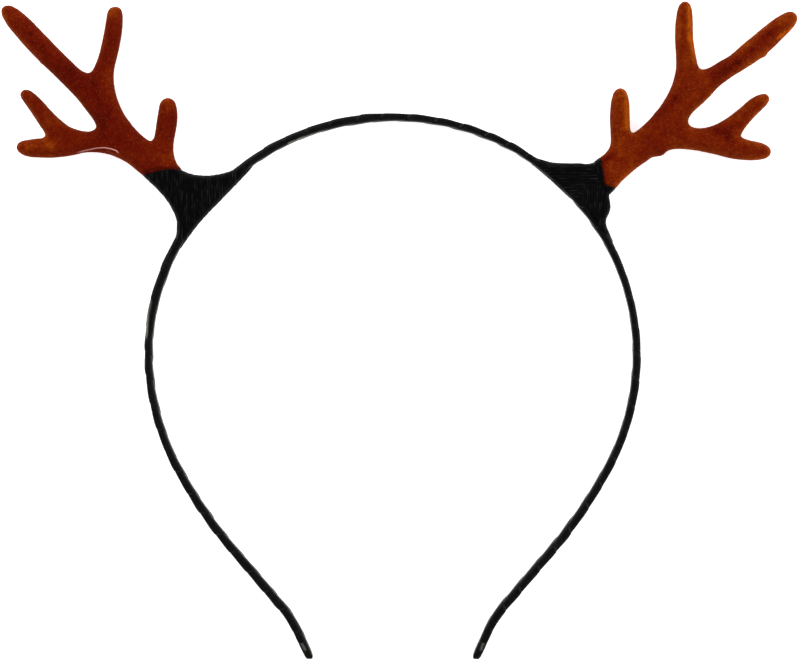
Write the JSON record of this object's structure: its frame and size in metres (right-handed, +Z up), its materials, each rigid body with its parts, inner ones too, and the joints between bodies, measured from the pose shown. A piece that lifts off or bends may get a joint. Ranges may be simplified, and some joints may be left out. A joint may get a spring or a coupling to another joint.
{
  "type": "reindeer antler headband",
  "caption": "Slim ribbon-wound headband with a pair of branching flocked reindeer antlers held on by ribbed ribbon wraps.",
  "frame": {"origin": "middle of the headband's bounding box, on the surface that it lies on", "axes": "+X across the band towards the right antler, +Y towards the crown, +Z up from the surface, along the strip's width"},
  "size_m": [0.2266, 0.188, 0.007],
  "materials": {
    "flock": "short velvety flock, red-brown",
    "ribbon": "black satin ribbon, wound",
    "tip_ribbon": "black satin ribbon, smooth and folded",
    "ribbed_ribbon": "black ribbed ribbon, dull satin"
  },
  "bodies": {
    "root": {"band": "ribbon", "tip_fold_left": "tip_ribbon", "tip_fold_right": "tip_ribbon", "antler_left": "flock", "antler_right": "flock", "gusset_left": "ribbed_ribbon", "gusset_right": "ribbed_ribbon", "collar_right": "ribbed_ribbon"}
  },
  "joints": []
}
